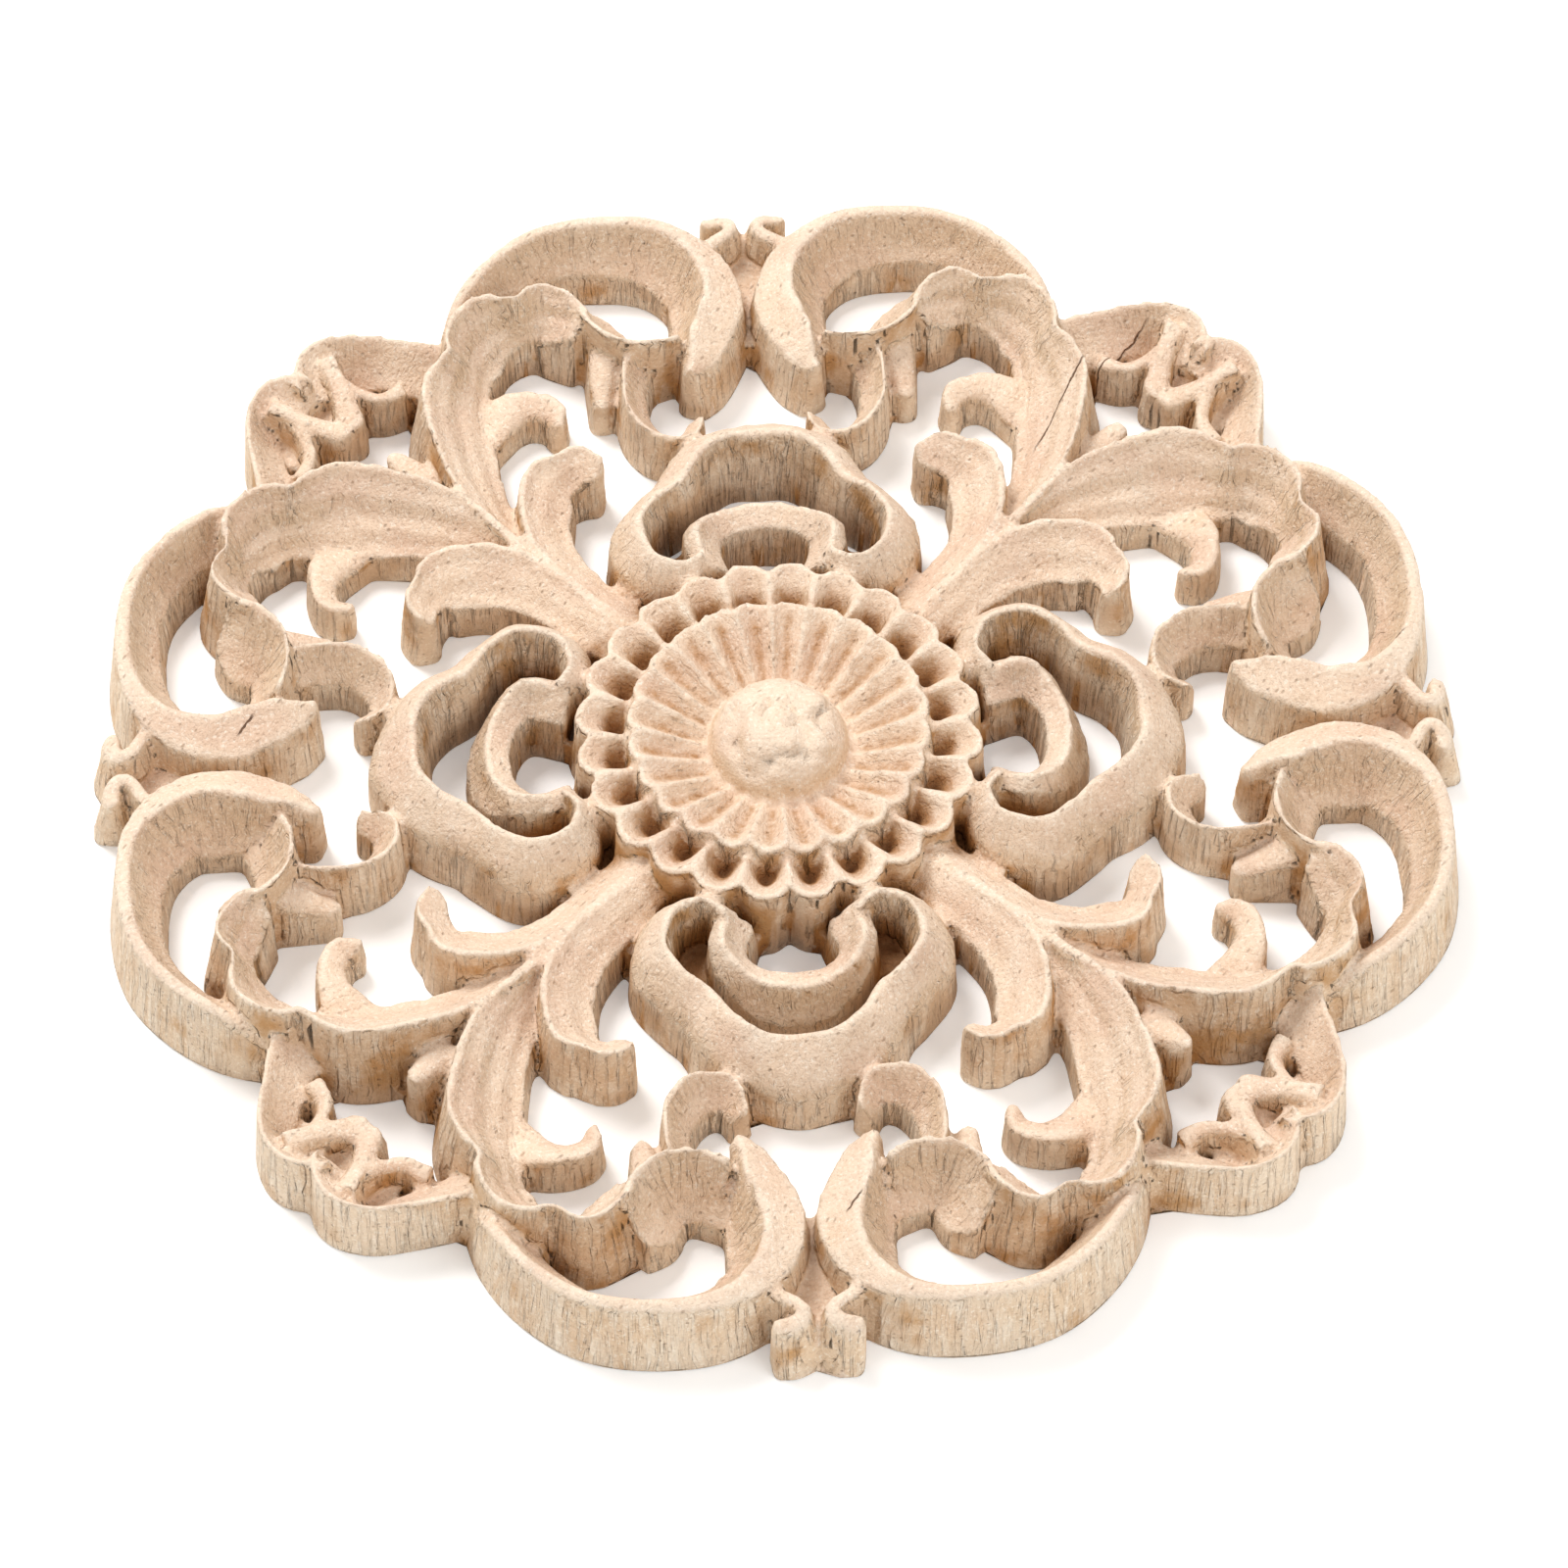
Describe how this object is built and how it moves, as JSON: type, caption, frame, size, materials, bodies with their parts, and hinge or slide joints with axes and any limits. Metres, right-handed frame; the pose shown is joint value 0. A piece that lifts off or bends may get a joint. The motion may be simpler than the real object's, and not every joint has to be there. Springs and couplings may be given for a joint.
{
  "type": "carved wood applique",
  "caption": "Round pierced rosette applique of raw wood with a flat back, a pleated flower at the centre and scrolling acanthus leaves around it, for gluing to furniture or a door.",
  "frame": {"origin": "centre of the flat back, under the middle of the flower", "axes": "+Z out of the carved face, +X and +Y through the paired scrolls with the small finials"},
  "size_m": [0.1504, 0.1504, 0.0132],
  "materials": {
    "wood": "raw carved wood"
  },
  "bodies": {
    "root": {"carved_applique": "wood"}
  },
  "joints": []
}
